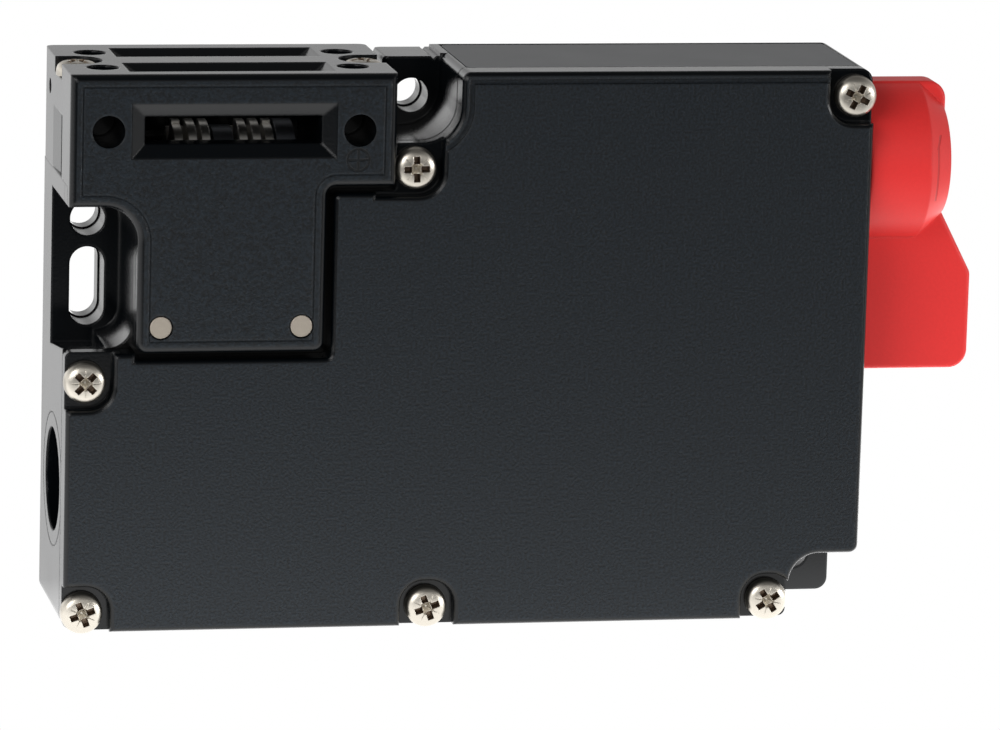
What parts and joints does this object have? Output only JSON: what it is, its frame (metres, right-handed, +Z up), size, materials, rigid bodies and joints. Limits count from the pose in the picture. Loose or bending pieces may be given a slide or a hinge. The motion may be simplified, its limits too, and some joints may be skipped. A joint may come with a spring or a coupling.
{
  "type": "tongue interlock switch",
  "caption": "Slim guard interlock switch with a side-mounted actuator head, solenoid lock and a turning escape-release lever.",
  "frame": {"origin": "middle of the flat back face, which bolts to the machine", "axes": "+X to the right along the longer side, +Y out of the back face, +Z up"},
  "size_m": [0.1507, 0.031, 0.0904],
  "materials": {
    "black_plastic": "fine moulded grain",
    "cover_rubber": "matt",
    "screw_steel": "satin",
    "pin_steel": "satin",
    "cam_steel": "satin",
    "axle_steel": "ground",
    "lock_steel": "dark",
    "rod_steel": "ground",
    "spring_steel": "drawn",
    "white_plastic": "natural",
    "contact_case_plastic": "moulded",
    "contact_brass": "stamped",
    "slide_plastic": "natural",
    "magnet_steel": "zinc",
    "bobbin_plastic": "moulded",
    "copper_wire": "enamelled",
    "red_plastic": "satin",
    "sleeve_steel": "turned",
    "terminal_plastic": "moulded",
    "terminal_steel": "plated",
    "plug_plastic": "moulded"
  },
  "bodies": {
    "case": {"housing": "black_plastic", "cover": "black_plastic", "cover_gasket": "cover_rubber", "cover_screws": "screw_steel", "head_housing": "black_plastic", "head_screws": "screw_steel", "head_pins": "pin_steel", "cam_axle": "axle_steel", "plunger_spring": "spring_steel", "lock_spring": "spring_steel", "position_contact_case": "contact_case_plastic", "position_contacts": "contact_brass", "solenoid_core": "magnet_steel", "solenoid_frame": "magnet_steel", "coil_bobbin": "bobbin_plastic", "coil_winding": "copper_wire", "lock_contact_case": "contact_case_plastic", "lock_contacts": "contact_brass", "terminal_block": "terminal_plastic", "terminal_screws": "terminal_steel", "terminal_clamps": "terminal_steel", "blanking_plugs": "plug_plastic", "plug_seals": "cover_rubber"},
    "cams": {"cam_discs": "cam_steel", "cam_spacers": "cam_steel", "lift_cam": "cam_steel", "lock_disc": "lock_steel", "cam_rivets": "cam_steel"},
    "follower": {"plunger": "white_plastic", "position_contact_bridge": "contact_brass"},
    "bolt": {"lock_plate": "lock_steel", "pull_rod": "rod_steel", "lock_finger": "lock_steel", "armature": "magnet_steel", "cross_pin": "pin_steel", "lock_contact_slide": "slide_plastic"},
    "lever": {"release_lever": "red_plastic", "release_sleeve": "sleeve_steel", "sleeve_seal": "cover_rubber", "sleeve_clip": "spring_steel"}
  },
  "joints": [
    {"name": "cam_turn", "type": "hinge", "parent": "case", "child": "cams", "pos_m": [-0.039, -0.0155, 0.027], "axis": [-1, 0, 0], "range_deg": [0, 60]},
    {"name": "plunger_lift", "type": "slide", "parent": "case", "child": "follower", "axis": [0, 0, 1], "range_m": [0, 0.003], "deforming": ["plunger_spring"]},
    {"name": "lever_turn", "type": "hinge", "parent": "case", "child": "lever", "pos_m": [0.07, -0.015, 0.0283], "axis": [-1, 0, 0], "range_deg": [0, 90]},
    {"name": "bolt_draw", "type": "slide", "parent": "case", "child": "bolt", "axis": [1, 0, 0], "range_m": [0, 0.003], "deforming": ["lock_spring"]}
  ],
  "couplings": [
    {"joint": "plunger_lift", "follows": "cam_turn", "m_per_rad": 0.0028648},
    {"joint": "bolt_draw", "follows": "lever_turn", "m_per_rad": 0.0019099}
  ]
}
